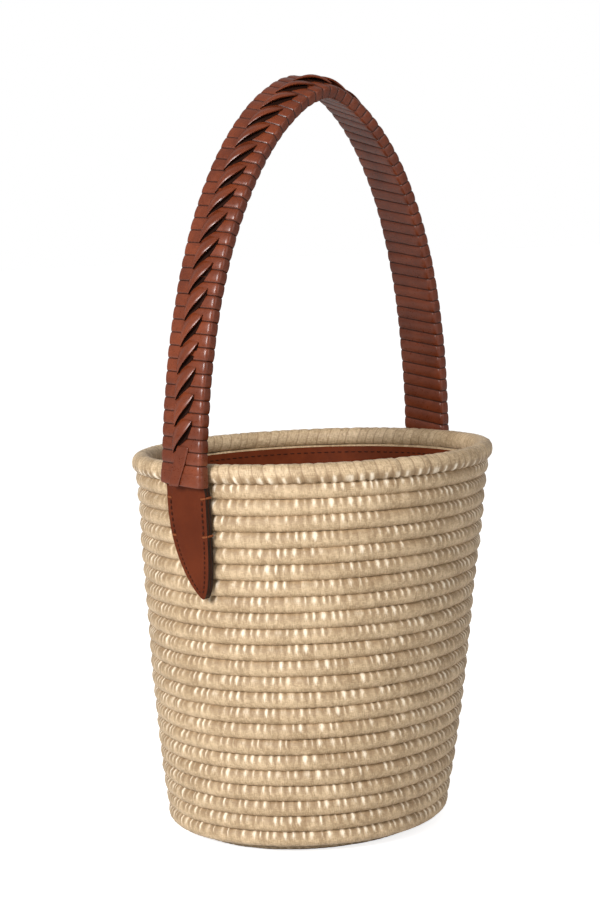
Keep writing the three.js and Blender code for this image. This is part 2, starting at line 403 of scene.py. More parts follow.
# --- Rim --------------------------------------------------------------------------------------------
# A thicker cord closes the edge. Its strands are wider and looser, and lie at a slant.
RIM_CORD = (rim_high.z - rim_low.z) / 2
rim_row = cord_row(
    (rim_high.x - rim_low.x) / 2 - RIM_CORD,
    height=(rim_high.z + rim_low.z) / 2,
    cord=RIM_CORD + 0.1 * MM,
    sides=16,
    valleys=(-1.7,),
    knot=0.4 * MM,
    knot_at=-0.7,
    slant=1.8 * MM,
    strand_width=7.4 * MM,
    loose=1,
)
join([rim_row], "rim_row")
finish_piece(rim_row, [sisal], ["rim_coil"], "basket")


# --- Lining -----------------------------------------------------------------------------------------
# A thin red-brown leather skin stands inside the wall, from the rim cord down to the base, and a leather
# disc closes it at the bottom. Thread holds its top edge under the rim, and the disc to the sleeve.
WALL_THICKNESS = 10.2 * MM
LINING = 1.2 * MM
LINING_BROWN = (0.160, 0.032, 0.009, 1)
LINING_DARK = (0.095, 0.018, 0.005, 1)
THREAD_DARK = (0.050, 0.012, 0.005, 1)
THREAD_BRIGHT = (0.24, 0.072, 0.026, 1)
# The dark of the thread's ply pattern, and painted shade in the stitch holes.
PLY_DARK_AND_HOLE_SHADE = (0.008, 0.0025, 0.0015, 1)

lining_low, lining_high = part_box("lining_wall")
lining_foot = lining_low.z
lining_top = lining_high.z


def lining_radius(height):
    return wall_radius(height) - WALL_THICKNESS - 0.6 * MM


def grain_group():
    """Leather grain: small rounded cells with fine creases, and a slow change of tone over the skin."""
    group = bpy.data.node_groups.new("leather_grain", "ShaderNodeTree")
    group.interface.new_socket("Scale", in_out="INPUT", socket_type="NodeSocketFloat")
    group.interface.new_socket("Height", in_out="OUTPUT", socket_type="NodeSocketFloat")
    group.interface.new_socket("Tone", in_out="OUTPUT", socket_type="NodeSocketFloat")
    given = group.nodes.new("NodeGroupInput")
    result = group.nodes.new("NodeGroupOutput")
    place = add_node(group, "TexCoord").outputs["Object"]
    scale = given.outputs["Scale"]
    cells = add_node(group, "TexVoronoi", (("Vector", place), ("Scale", scale)), feature="SMOOTH_F1")
    creases = noise_at(group, place, math_node(group, "MULTIPLY", scale, 0.35), 5.0, 0.6)
    slow = noise_at(group, place, math_node(group, "MULTIPLY", scale, 0.05), 4.0, 0.55)
    height = math_node(group, "MULTIPLY_ADD", cells.outputs[0], 0.6, creases)
    tone = math_node(group, "MULTIPLY_ADD", slow, 0.75, math_node(group, "MULTIPLY", creases, 0.25))
    group.links.new(height, result.inputs["Height"])
    group.links.new(tone, result.inputs["Tone"])
    return group


grain = grain_group()


def leather(name, light, dark, roughness, grain_scale, relief, specular=0.22):
    """A leather with its grain. Returns the material with its colour, so that a section can change it."""
    material, tree, shader = new_material(name, roughness, specular)
    skin = add_node(tree, "Group", node_tree=grain)
    skin.inputs["Scale"].default_value = grain_scale
    colour = mix_colour(tree, spread(tree, skin.outputs["Tone"], 0.3, 0.7), dark, light)
    tree.links.new(colour, shader.inputs["Base Color"])
    rough = spread(tree, skin.outputs["Height"], 0.4, 1.1, roughness - 0.06, roughness + 0.1)
    tree.links.new(rough, shader.inputs["Roughness"])
    bump_shape = (("Strength", 0.5), ("Distance", relief), ("Height", skin.outputs["Height"]))
    bump = add_node(tree, "Bump", bump_shape)
    tree.links.new(bump.outputs["Normal"], shader.inputs["Normal"])
    return material, tree, shader, colour


def apply_modifier(piece, kind, **settings):
    only(piece)
    modifier = piece.modifiers.new(kind.title(), kind)
    for name, value in settings.items():
        setattr(modifier, name, value)
    bpy.ops.object.modifier_apply(modifier=modifier.name)


def weld(piece, dissolve=False):
    """Joins the points of a mesh that lie together."""
    only(piece)
    bpy.ops.object.mode_set(mode="EDIT")
    bpy.ops.mesh.select_all(action="SELECT")
    bpy.ops.mesh.remove_doubles(threshold=0.02 * MM)
    if dissolve:
        bpy.ops.mesh.dissolve_degenerate(threshold=0.01 * MM)
    bpy.ops.object.mode_set(mode="OBJECT")


def copy_of(model, name):
    copy = bpy.data.objects.new(name, model.data.copy())
    bpy.context.scene.collection.objects.link(copy)
    return copy


def thread_finish(name, thread_colour):
    """Thread with painted shade where a stitch dives into its hole. The UV map's Y runs along each stitch.
    """
    material, tree, shader = new_material(name, 0.6, 0.08)
    _, along = uv_of(tree)
    place = add_node(tree, "TexCoord").outputs["Object"]
    ply = noise_at(tree, place, 2600.0, 2.0)
    middle = math_node(tree, "ABSOLUTE", math_node(tree, "SUBTRACT", along, 0.5))
    colour = mix_colour(tree, spread(tree, ply, 0.35, 0.65, 0.0, 0.45), thread_colour, PLY_DARK_AND_HOLE_SHADE)
    # Painted shade: the ends of each stitch are darkened where they dive into their holes.
    colour = mix_colour(tree, spread(tree, middle, 0.24, 0.36), colour, PLY_DARK_AND_HOLE_SHADE)
    tree.links.new(colour, shader.inputs["Base Color"])
    bump = add_node(tree, "Bump", (("Strength", 0.6), ("Distance", 0.1 * MM), ("Height", ply)))
    tree.links.new(bump.outputs["Normal"], shader.inputs["Normal"])
    return material


thread = thread_finish("waxed_thread", THREAD_DARK)
lining_leather, *_ = leather("lining_leather", LINING_BROWN, LINING_DARK, 0.58, 700, 0.12 * MM, 0.08)

# The sleeve starts as a hoop at the foot, and is drawn up ring by ring.
SLEEVE_RINGS = 28
foot_radius = lining_radius(lining_foot)
bpy.ops.object.select_all(action="DESELECT")
bpy.ops.mesh.primitive_circle_add(vertices=160, radius=foot_radius, location=(0, 0, lining_foot))
sleeve = bpy.context.object
bpy.ops.object.transform_apply(location=True)
bpy.ops.object.mode_set(mode="EDIT")
bpy.ops.mesh.select_all(action="SELECT")
step = (lining_top - lining_foot) / SLEEVE_RINGS
for ring in range(SLEEVE_RINGS):
    bpy.ops.mesh.extrude_region_move(TRANSFORM_OT_translate={"value": (0, 0, step)})
bpy.ops.mesh.select_all(action="SELECT")
bpy.ops.mesh.normals_make_consistent(inside=False)
bpy.ops.object.mode_set(mode="OBJECT")
x, y, z = read_points(sleeve).T
turn = np.arctan2(y, x)
ripple = 0.25 * MM * np.sin(9 * turn + 14 * z / lining_top)
ripple += 0.2 * MM * np.sin(23 * turn - 9 * z / lining_top)
ripple *= np.sin(math.pi * (z - lining_foot) / (lining_top - lining_foot))
reach = lining_radius(z) - 0.3 * MM + ripple
write_points(sleeve, widened(reach * np.cos(turn), reach * np.sin(turn), z))
apply_modifier(sleeve, "SOLIDIFY", thickness=LINING, offset=-1)
join([sleeve], "lining_sleeve")
finish_piece(sleeve, [lining_leather], ["lining_wall"], "basket")

DISC_CROWN = 0.5 * MM
DISC_RINGS = 8
disc_radius = foot_radius - 0.6 * LINING  # the disc's edge is caught in the sleeve's foot
bpy.ops.object.select_all(action="DESELECT")
bpy.ops.mesh.primitive_circle_add(
    vertices=96, radius=disc_radius, fill_type="NGON", location=(0, 0, lining_foot + LINING)
)
disc = bpy.context.object
bpy.ops.object.transform_apply(location=True)
bpy.ops.object.mode_set(mode="EDIT")
bpy.ops.mesh.select_all(action="SELECT")
for ring in range(DISC_RINGS - 1):
    bpy.ops.mesh.inset(thickness=disc_radius / DISC_RINGS)
bpy.ops.object.mode_set(mode="OBJECT")
x, y, z = read_points(disc).T
z += DISC_CROWN * (1 - (np.hypot(x, y) / disc_radius) ** 2)
write_points(disc, np.stack([x, y, z], 1))
apply_modifier(disc, "SOLIDIFY", thickness=LINING, offset=-1)
apply_modifier(disc, "BEVEL", width=0.3 * MM, segments=2, limit_method="ANGLE")
join([disc], "lining_disc")
finish_piece(disc, [lining_leather], ["lining_base"], "basket")


def stitch(length, radius, place):
    """One stitch, its ends sunk in their holes, set at a place whose X axis runs along the seam."""
    bpy.ops.object.select_all(action="DESELECT")
    bpy.ops.mesh.primitive_uv_sphere_add(segments=8, ring_count=6, radius=1, rotation=(0, math.pi / 2, 0))
    made = bpy.context.object
    bpy.ops.object.transform_apply(rotation=True)
    points = read_points(made)
    end = np.abs(points[:, 0])
    points *= (length / 2, radius, radius)
    points[:, 2] -= radius * 0.9 * end**3
    write_points(made, points)
    made.data.transform(place)
    return made


def ring_stitches(name, node, radius, height, pitch, length, thick):
    """Stitches all the way round the lining, on its inner face."""
    count = round(2 * math.pi * radius / pitch)
    made = []
    model = stitch(length, thick, Matrix.Identity(4))
    for index in range(count):
        turn = Matrix.Rotation(2 * math.pi * index / count, 4, "Z")
        face_in = Matrix(((0, 0, -1, radius), (-1, 0, 0, 0), (0, 1, 0, height), (0, 0, 0, 1)))
        copy = copy_of(model, name)
        copy.data.transform(turn @ face_in)
        made.append(copy)
    bpy.data.objects.remove(model)
    ring = join(made, name)
    write_points(ring, widened(*read_points(ring).T))
    finish_piece(ring, [thread], [node], "basket")


STITCH_DROP = 4 * MM
top_seam = lining_top - STITCH_DROP
ring_stitches(
    "lining_top_stitches",
    "lining_top_stitching",
    radius=lining_radius(top_seam) - LINING - 0.45 * MM,
    height=top_seam,
    pitch=4.8 * MM,
    length=3.4 * MM,
    thick=0.42 * MM,
)
disc_seam = lining_foot + 2 * LINING
ring_stitches(
    "lining_base_stitches",
    "lining_base_stitching",
    radius=lining_radius(disc_seam) - LINING - 0.75 * MM,
    height=disc_seam,
    pitch=5 * MM,
    length=4.4 * MM,
    thick=0.5 * MM,
)


# --- Strap ------------------------------------------------------------------------------------------
# The handle's core is a leather strap folded double. It stands up from the two tabs in a tall arch, and
# hardly shows, because a flat lace is wound over it from end to end.
STRAP_WIDTH = 31 * MM
STRAP_LAYER = 2.5 * MM
LAYER_GAP = 0.3 * MM
FOOT = (121.2 * MM, 241.5 * MM)
SHOULDER = (117.5 * MM, 442 * MM)
CROWN = (27 * MM, 490 * MM)
TOP = (0, 490 * MM)
HANDLE_Y = -2 * MM  # the handle and its tabs are sewn on a little off the middle
CROWN_ROLL = 0.3  # radians by which the worn strap tips over at the top of the arch
STRAP_BROWN = (0.106, 0.021, 0.0065, 1)
STRAP_DARK = (0.080, 0.015, 0.0048, 1)
EDGE_PAINT_AND_HOLLOW_SHADOW = (0.022, 0.008, 0.005, 1)
EDGE_PAINT_DARK = (0.010, 0.004, 0.003, 1)


def curve_points(corners, count):
    """Points along a cubic curve from its four corners."""
    share = np.linspace(0, 1, count)[:, None]
    first, second, third, fourth = (np.array(corner, float) for corner in corners)
    rest = 1 - share
    return rest**3 * first + 3 * rest**2 * share * second + 3 * rest * share**2 * third + share**3 * fourth


leg = curve_points((FOOT, SHOULDER, CROWN, TOP), 600)
middle_line = np.concatenate([leg * (-1, 1), leg[-2::-1]])
steps = np.linalg.norm(np.diff(middle_line, axis=0), axis=1)
distance = np.concatenate([[0], np.cumsum(steps)])
arch_length = distance[-1]
heading = np.gradient(middle_line, distance, axis=0)
heading /= np.linalg.norm(heading, axis=1)[:, None]


def onto_arch(piece):
    """Bends a piece that was modelled flat, its X along the strap and its Z away from it, onto the arch."""
    along, side, height = read_points(piece).T
    inside = np.clip(along, 0, arch_length)
    beyond = along - inside
    centre = np.stack([np.interp(inside, distance, middle_line[:, axis]) for axis in (0, 1)], 1)
    ahead = np.stack([np.interp(inside, distance, heading[:, axis]) for axis in (0, 1)], 1)
    outward = np.stack([-ahead[:, 1], ahead[:, 0]], 1)
    tip = CROWN_ROLL * np.sin(math.pi * inside / arch_length) ** 4
    rolled_side = side * np.cos(tip) - height * np.sin(tip)
    rolled_height = side * np.sin(tip) + height * np.cos(tip)
    bent = centre + ahead * beyond[:, None] + outward * rolled_height[:, None]
    write_points(piece, np.stack([bent[:, 0], rolled_side + HANDLE_Y, bent[:, 1]], 1))


strap_leather, *_ = leather("strap_leather", STRAP_BROWN, STRAP_DARK, 0.52, 800, 0.06 * MM, 0.08)
edge_paint, *_ = leather("painted_edge", EDGE_PAINT_AND_HOLLOW_SHADOW, EDGE_PAINT_DARK, 0.42, 1400, 0.05 * MM)

for name, lift, node in (
    ("strap_outer", (STRAP_LAYER + LAYER_GAP) / 2, "strap_outer_layer"),
    ("strap_inner", -(STRAP_LAYER + LAYER_GAP) / 2, "strap_inner_layer"),
):
    bpy.ops.object.select_all(action="DESELECT")
    bpy.ops.mesh.primitive_grid_add(x_subdivisions=160, y_subdivisions=4, size=1)
    layer = bpy.context.object
    points = read_points(layer) + (0.5, 0, 0)
    write_points(layer, points * (arch_length, STRAP_WIDTH, 1) + (0, 0, lift))
    layer.data.materials.append(strap_leather)
    layer.data.materials.append(edge_paint)
    apply_modifier(layer, "SOLIDIFY", thickness=STRAP_LAYER, offset=0, material_offset_rim=1)
    apply_modifier(layer, "BEVEL", width=0.5 * MM, segments=2, limit_method="ANGLE")
    onto_arch(layer)
    join([layer], name)
    finish_piece(layer, [strap_leather, edge_paint], [node], "handle")


# --- Lacing -----------------------------------------------------------------------------------------
# One long flat lace winds round the strap, turn against turn. Every turn is a little pillow, with a
# sharp dark gap to the next. The turns cross the outer face almost square and the inner face at a slant.
LACED_WIDTH = 35 * MM
LACED_THICKNESS = 8.2 * MM
TURN = 8.1 * MM  # lace width, with its gap
GAP_DEPTH = 0.62 * MM
LACING_START = 4 * MM
CORNER = 2.2 * MM
FACE_CROWN = 0.9 * MM
FACE_SLOPE = 0.06  # how far a turn climbs for each unit across the outer face
SIDE_SLOPE = 0.05
LACE_LIGHT = (0.175, 0.036, 0.0105, 1)
LACE_DARK = (0.100, 0.019, 0.0055, 1)
# Painted shadow for the hollow under each braid loop.
HOLLOW_SHADOW = (0.010, 0.003, 0.0015, 1)
LACE_GAP_SHADE = (0.030, 0.007, 0.003, 1)


def face_crown(side):
    """How far the outer face swells between its rounded corners."""
    return FACE_CROWN * np.clip(1 - (side / (LACED_WIDTH / 2 - CORNER)) ** 2, 0, 1)


def strap_section(width, thickness, corner):
    """Points and outward directions round the laced strap's section, corner by corner."""
    flat_y = width / 2 - corner
    flat_z = thickness / 2 - corner
    points = []
    for side, (centre_y, centre_z) in enumerate(
        ((flat_y, flat_z), (flat_y, -flat_z), (-flat_y, -flat_z), (-flat_y, flat_z))
    ):
        for angle in np.radians((90, 60, 30, 0)) - side * math.pi / 2:
            direction = (math.cos(angle), math.sin(angle))
            points.append((centre_y + corner * direction[0], centre_z + corner * direction[1], *direction))
        if side in (1, 3):
            sign = -1 if side == 1 else 1
            for share in np.linspace(0, 1, 12)[1:-1]:
                across = sign * (2 * share - 1) * flat_y
                points.append((across, sign * thickness / 2 + (side == 3) * face_crown(across), 0, sign))
        else:
            sign = 1 if side == 0 else -1
            points.append((sign * width / 2, 0, sign, 0))
    return np.array(points)


def ordered_section(width, thickness, corner):
    """The section's points sorted round it, clockwise seen along the strap, and closed."""
    points = strap_section(width, thickness, corner)
    turn = np.arctan2(points[:, 1] / thickness, points[:, 0] / width)
    start = np.arctan2(1, -1)
    order = np.argsort((start - turn) % (2 * math.pi), kind="stable")
    points = points[order]
    return np.concatenate([points, points[:1]])


def roll(along, lift, lead, section):
    """Rolls a flat band round the strap. Each row has its along and lift, each section point its lead."""
    bpy.ops.object.select_all(action="DESELECT")
    bpy.ops.mesh.primitive_grid_add(x_subdivisions=len(along) - 1, y_subdivisions=len(section) - 1, size=1)
    band = bpy.context.object
    points = read_points(band)
    row = np.rint((points[:, 0] + 0.5) * (len(along) - 1)).astype(int)
    column = np.rint((points[:, 1] + 0.5) * (len(section) - 1)).astype(int)
    lifted = lift[row, column] if lift.ndim == 2 else lift[row]
    side = section[column, 0] + section[column, 2] * lifted
    height = section[column, 1] + section[column, 3] * lifted
    write_points(band, np.stack([along[row] + lead[column], side, height], 1))
    return band, row, column


section = ordered_section(LACED_WIDTH, LACED_THICKNESS, CORNER)
step_lengths = np.linalg.norm(np.diff(section[:, :2], axis=0), axis=1)
middles = (section[1:, :2] + section[:-1, :2]) / 2
slopes = np.full(len(step_lengths), SIDE_SLOPE)
slopes[middles[:, 1] > LACED_THICKNESS * 0.45] = FACE_SLOPE
inner = middles[:, 1] < -LACED_THICKNESS * 0.45
slopes[inner] = (TURN - (slopes * step_lengths)[~inner].sum()) / step_lengths[inner].sum()
lead = np.concatenate([[0], np.cumsum(slopes * step_lengths)])

turns = math.ceil((arch_length - 2 * LACING_START) / TURN) + 1
pillow_at = np.array([0.0, 0.05, 0.14, 0.34, 0.64, 0.86, 0.95])
pillow_rise = np.array([-1.0, -0.30, 0.08, 0.42, 0.40, 0.04, -0.34]) * GAP_DEPTH
phase = np.append((np.arange(turns)[:, None] + pillow_at).ravel(), turns)
lace_along = LACING_START + TURN * (phase - 1)
turn_number = phase[:, None] + lead / TURN
sway = np.interp(turn_number * 2, np.arange(2 * turns + 3), chance.normal(0, 0.10 * MM, 2 * turns + 3))
lace_lift = np.append(np.tile(pillow_rise, turns), pillow_rise[0])[:, None] + sway
lacing, row, column = roll(lace_along, lace_lift, lead, section)
write_uv(lacing, phase[row], column / (len(section) - 1))
points = read_points(lacing)
points[:, 0] = np.clip(points[:, 0], LACING_START, arch_length - LACING_START)
write_points(lacing, points)
weld(lacing, dissolve=True)
apply_modifier(lacing, "SOLIDIFY", thickness=0.5 * MM, offset=-1)
onto_arch(lacing)
join([lacing], "lacing")


def lace_finish():
    """Smooth cognac leather, each turn its own tone, with edges painted darker as shade at the gaps, a
    little glossy.
    """
    material, tree, shader, colour = leather(
        "lace_leather", LACE_LIGHT, LACE_DARK, 0.31, 1000, 0.03 * MM, specular=0.42
    )
    across, _ = uv_of(tree)
    number = math_node(tree, "FLOOR", across)
    tint = add_node(tree, "TexWhiteNoise", (("W", number),), noise_dimensions="1D").outputs["Value"]
    colour = mix_colour(tree, spread(tree, tint, 0, 1, 0.0, 0.30), colour, LACE_DARK)
    # Painted shade: each turn darkens toward its edges, where the gaps to the next turns are.
    edge = math_node(tree, "ABSOLUTE", math_node(tree, "SUBTRACT", math_node(tree, "FRACT", across), 0.5))
    colour = mix_colour(tree, spread(tree, edge, 0.41, 0.49, 0.0, 0.9), colour, LACE_GAP_SHADE)
    tree.links.new(colour, shader.inputs["Base Color"])
    return material


lace_leather = lace_finish()
finish_piece(lacing, [lace_leather], ["handle_lacing"], "handle")


# --- Braid ------------------------------------------------------------------------------------------
# A second lace runs up the outer face, and goes under every second turn. It shows as a row of leaf-shaped
# loops, low on the left and standing clear on the right, where each one casts a deep shadow.
LOOP_PITCH = 16.4 * MM
FIRST_LOOP = 20.5 * MM
LAST_LOOP_END = 26 * MM
LOOP_EDGE = np.array([[12.6, -1.0], [9.6, 7], [11.0, 15], [19.5, 20.5]]) * MM  # across the strap, along it
LOOP_LIP = np.array([[12.6, -1.0], [17.5, 6], [25.0, 9.5], [28.2, 19.0]]) * MM
LOOP_RISE = 3.5 * MM
LACE = 1.0 * MM
LACE_BEVEL = 0.28 * MM
LACE_ROWS = 14
LACE_COLUMNS = 8


def lay_patch(rows, columns, left, right, rise, number):
    """A patch of lace between two edges, each listed as (across, along) from its low end to its high."""
    bpy.ops.object.select_all(action="DESELECT")
    bpy.ops.mesh.primitive_grid_add(x_subdivisions=rows, y_subdivisions=columns, size=1)
    patch = bpy.context.object
    points = read_points(patch) + 0.5
    row = np.rint(points[:, 0] * rows).astype(int)
    share = 1 - points[:, 1]
    across, along = (left[row] * (1 - share[:, None]) + right[row] * share[:, None]).T
    lifted = rise(points[:, 0], share)
    side = LACED_WIDTH / 2 - across
    write_points(patch, np.stack([along, side, LACED_THICKNESS / 2 + face_crown(side) + lifted], 1))
    write_uv(patch, number + 0.08 + 0.84 * share, points[:, 0])
    return patch


def thicken_lace(piece, thickness=LACE, bevel=LACE_BEVEL):
    apply_modifier(piece, "SOLIDIFY", thickness=thickness, offset=-1)
    sharp = math.radians(40)
    apply_modifier(piece, "BEVEL", width=bevel, segments=2, limit_method="ANGLE", angle_limit=sharp)


def loop_rise(up, share):
    """A dome that starts low along the left edge, and stands clear of the turns all along its lip."""
    return 0.3 * MM + LOOP_RISE * np.sin(math.pi * (0.05 + 0.86 * up**1.1)) * np.sin(2.0 * share)


loop_left = curve_points(LOOP_EDGE, LACE_ROWS + 1)
loop_right = curve_points(LOOP_LIP, LACE_ROWS + 1)
loop_count = int((arch_length - FIRST_LOOP - LAST_LOOP_END) / LOOP_PITCH)
model = lay_patch(LACE_ROWS, LACE_COLUMNS, loop_left, loop_right, loop_rise, 0)
weld(model)
thicken_lace(model)
model.data.materials.append(lace_leather)

# Behind the lip of each loop the lace dives under the next turn, and leaves a hollow. A thin dark patch
# laid on the turns there is painted shadow for it.
HOLLOW_WIDTH = 2.3 * MM
HOLLOW_LIFT = 0.34 * MM
# Painted shadow: the hollow's patch is coloured near black, and borrows the edge paint's brown.
hollow_shade, *_ = leather("lace_hollow_shadow", HOLLOW_SHADOW, EDGE_PAINT_AND_HOLLOW_SHADOW, 0.7, 900, 0.05 * MM, 0.05)


def hollow_rise(up, share):
    return np.full(len(up), HOLLOW_LIFT)


bulge = np.sin(math.pi * np.linspace(0, 1, LACE_ROWS + 1)) ** 1.2
hollow_right = loop_right + np.stack([HOLLOW_WIDTH * bulge, -0.25 * HOLLOW_WIDTH * bulge], 1)
hollow_left = loop_right * 0.7 + loop_left * 0.3
hollow = lay_patch(LACE_ROWS, 3, hollow_left, hollow_right, hollow_rise, 0)
hollow.data.materials.append(hollow_shade)
apply_modifier(hollow, "SOLIDIFY", thickness=0.5 * MM, offset=-1)
model = join([model, hollow], "loop")

loops = []
for index in range(loop_count):
    loop = copy_of(model, "loop")
    points = read_points(loop)
    points[:, 0] += FIRST_LOOP + index * LOOP_PITCH + chance.normal(0, 0.3 * MM)
    points[:, 1] += chance.normal(0, 0.25 * MM)
    write_points(loop, points)
    uv = loop.data.uv_layers["UVMap"].data
    values = np.empty(len(uv) * 2, np.float32)
    uv.foreach_get("uv", values)
    values[0::2] += index
    uv.foreach_set("uv", values)
    loops.append(loop)
bpy.data.objects.remove(model)
braid = join(loops, "braid")
onto_arch(braid)
finish_piece(braid, [lace_leather, hollow_shade], ["handle_braid"], "handle")


# --- Ends of the lacing -----------------------------------------------------------------------------
# At each foot the last turn is wider and lies at a slant, and the end of the lace comes down over it
# as a straight strip that is tucked in at the bottom.
END_TURN = 8.6 * MM
END_SLOPE = 0.09
END_GROWTH = 1.3 * MM  # the last turn lies over the others
TAIL_LEFT = np.array([[10.2, -0.4], [11.6, 8], [13, 17], [16.5, 24.5]]) * MM
TAIL_RIGHT = np.array([[18.6, -0.8], [22, 9], [25, 19], [26, 23.5]]) * MM

for end, foot, inward in (("near", 0.0, 1), ("far", arch_length, -1)):
    wide = ordered_section(LACED_WIDTH + END_GROWTH, LACED_THICKNESS + END_GROWTH, CORNER + 0.8 * MM)
    share = np.array([0.0, 0.06, 0.3, 0.7, 0.94, 1.0])
    rise = np.array([-0.5, 0.0, 0.12, 0.12, 0.0, -0.5]) * MM
    rows_along = (foot + inward * (share * END_TURN - 0.4 * MM))[::inward]
    band, row, column = roll(rows_along, rise, END_SLOPE * wide[:, 0], wide)
    write_uv(band, 0.1 + 0.8 * row / (len(share) - 1), column / (len(wide) - 1))
    weld(band)
    thicken_lace(band, thickness=1.2 * MM, bevel=0.25 * MM)
    onto_arch(band)
    join([band], end + "_last_turn")
    finish_piece(band, [lace_leather], [end + "_end_turn"], "handle")

    tail_left = curve_points(TAIL_LEFT, LACE_ROWS + 1)
    tail_right = curve_points(TAIL_RIGHT, LACE_ROWS + 1)
    if end == "far":
        far_corner = np.array([LACED_WIDTH, arch_length])
        tail_left, tail_right = far_corner - tail_right[::-1], far_corner - tail_left[::-1]

    def tail_rise(up, share):
        from_foot = up if end == "near" else 1 - up
        over_turn = np.clip(1.3 - from_foot * 2.4, 0, 1)
        return LACE * 0.9 + 1.0 * MM * over_turn + 0.2 * MM * np.sin(math.pi * share)

    tail = lay_patch(LACE_ROWS, LACE_COLUMNS, tail_left, tail_right, tail_rise, 3)
    thicken_lace(tail)
    onto_arch(tail)
    join([tail], end + "_lace_tail")
    finish_piece(tail, [lace_leather], [end + "_lace_end"], "handle")


# --- Tabs -------------------------------------------------------------------------------------------
# Each end of the strap comes out of the lacing as a long tab of two leather layers, with a rounded tip
# that lies to one side and edges painted dark. A fine machine seam holds the layers together, and a
# heavier hand seam with a bar at each end holds the tab on the wall.
TAB_TOP = (115.8 * MM, 235 * MM)
TAB_LENGTH = 66 * MM
TAB_WIDTH = 34 * MM
TAB_LAYER = 2.2 * MM
TIP_SHIFT = 13 * MM
TAB_TILT = math.radians(2.9)
SEAM_INSET = 3.2 * MM
TAB_REACH = 8.5 * MM  # how far the leather runs on up into the lacing
TIP_SHARPNESS = 2.4
TIP_ROUNDNESS = 0.68
SEWN_SHARE = 0.4  # share of the tab that the heavy seam holds; the fine seam goes on round the tip
TOP_BAR = 0.035  # share of the way down, low enough to stay clear of the last turn when the handle leans


def tab_middle(down):
    return TIP_SHIFT * np.clip(down, 0, None) ** 2


def tab_half(down):
    return TAB_WIDTH / 2 * (1 - np.clip(down, 0, 1) ** TIP_SHARPNESS) ** TIP_ROUNDNESS


def tab_matrix(end):
    turn = Matrix.Rotation(math.pi if end == "near" else 0, 4, "Z")
    top = Matrix.Translation((TAB_TOP[0], 0, TAB_TOP[1]))
    return Matrix.Translation((0, HANDLE_Y, 0)) @ turn @ top @ Matrix.Rotation(TAB_TILT, 4, "Y")


def hug(side):
    """How far the tab's edges bend in to follow the round wall."""
    return -0.7 * MM * (side / (TAB_WIDTH / 2)) ** 2


def tab_layer(name, lift, soft):
    bpy.ops.object.select_all(action="DESELECT")
    bpy.ops.mesh.primitive_grid_add(x_subdivisions=44, y_subdivisions=20, size=1)
    layer = bpy.context.object
    points = read_points(layer) + 0.5
    reach = 1 + TAB_REACH / TAB_LENGTH
    down = (1 - (1 - points[:, 0]) ** 1.7) * reach - TAB_REACH / TAB_LENGTH
    share = 2 * points[:, 1] - 1
    narrow = np.clip(-down * TAB_LENGTH / TAB_REACH, 0, 1)
    half = tab_half(down) * (1 - 0.07 * narrow)
    side = tab_middle(down) + half * share
    from_seam = half * (1 - np.abs(share)) - SEAM_INSET
    pillow = soft * np.clip(from_seam / (2.5 * MM), 0, 1) - soft * np.exp(-((from_seam / (0.9 * MM)) ** 2))
    height = lift + hug(side - tab_middle(down)) + pillow * (1 - narrow) + 1.6 * MM * narrow**1.5
    write_points(layer, np.stack([height, side, -down * TAB_LENGTH], 1))
    weld(layer)
    if sum(face.normal.x for face in layer.data.polygons) < 0:
        layer.data.flip_normals()
    layer.data.materials.append(strap_leather)
    layer.data.materials.append(edge_paint)
    apply_modifier(layer, "SOLIDIFY", thickness=TAB_LAYER, offset=-1, material_offset_rim=1)
    apply_modifier(
        layer, "BEVEL", width=0.35 * MM, segments=3, limit_method="ANGLE", angle_limit=math.radians(45)
    )
    layer.name = name
    return layer


def seam_place(side, down, lift):
    half = tab_half(np.array(down)) - SEAM_INSET
    across = tab_middle(np.array(down)) + side * half
    return Vector((lift + hug(side * half), float(across), -down * TAB_LENGTH))


def run_stitches(path, pitch, length, radius):
    """Stitches at an even pitch along a path on the tab's face."""
    made = []
    points = np.array([tuple(point) for point in path])
    run = np.concatenate([[0], np.cumsum(np.linalg.norm(np.diff(points, axis=0), axis=1))])
    count = max(2, round(run[-1] / pitch))
    for index in range(count):
        places = [run[-1] * (index + 0.5 + offset) / count for offset in (-0.3, 0, 0.3)]
        before, here, after = (
            Vector([np.interp(at, run, points[:, axis]) for axis in range(3)]) for at in places
        )
        along = (after - before).normalized()
        out = Vector((1, 0, 0))
        out = (out - along * out.dot(along)).normalized()
        place = Matrix((along, out.cross(along), out)).transposed().to_4x4()
        one = stitch(length, radius, Matrix.Translation(here) @ place)
        one.data.materials.append(thread)
        made.append(one)
    return made


def bar(side, down, lift):
    """A bar stitch from the seam out over the tab's edge and down to the wall."""
    half = float(tab_half(np.array(down)))
    middle = float(tab_middle(np.array(down)))
    height = -down * TAB_LENGTH
    route = [
        (lift - 0.7 * MM, middle + side * (half - SEAM_INSET - 0.6 * MM), height),
        (lift + 0.1 * MM, middle + side * (half - SEAM_INSET + 0.6 * MM), height),
        (lift - 0.1 * MM, middle + side * (half - 0.8 * MM), height + 0.4 * MM),
        (lift - 1.2 * MM, middle + side * (half + 0.2 * MM), height + 0.6 * MM),
        (lift - 5.2 * MM, middle + side * (half + 0.3 * MM), height + 0.6 * MM),
    ]
    bpy.ops.object.select_all(action="DESELECT")
    bpy.ops.curve.primitive_nurbs_path_add()
    thread_curve = bpy.context.object
    for point, place in zip(thread_curve.data.splines[0].points, route):
        point.co = (*place, 1)
    thread_curve.data.bevel_depth = 0.75 * MM
    thread_curve.data.bevel_resolution = 2
    thread_curve.data.resolution_u = 5
    thread_curve.data.use_fill_caps = True
    bpy.ops.object.convert(target="MESH")
    made = bpy.context.object
    made.data.materials.append(bright_thread)
    write_uv(made, np.zeros(len(made.data.vertices)), np.full(len(made.data.vertices), 0.5))
    return made


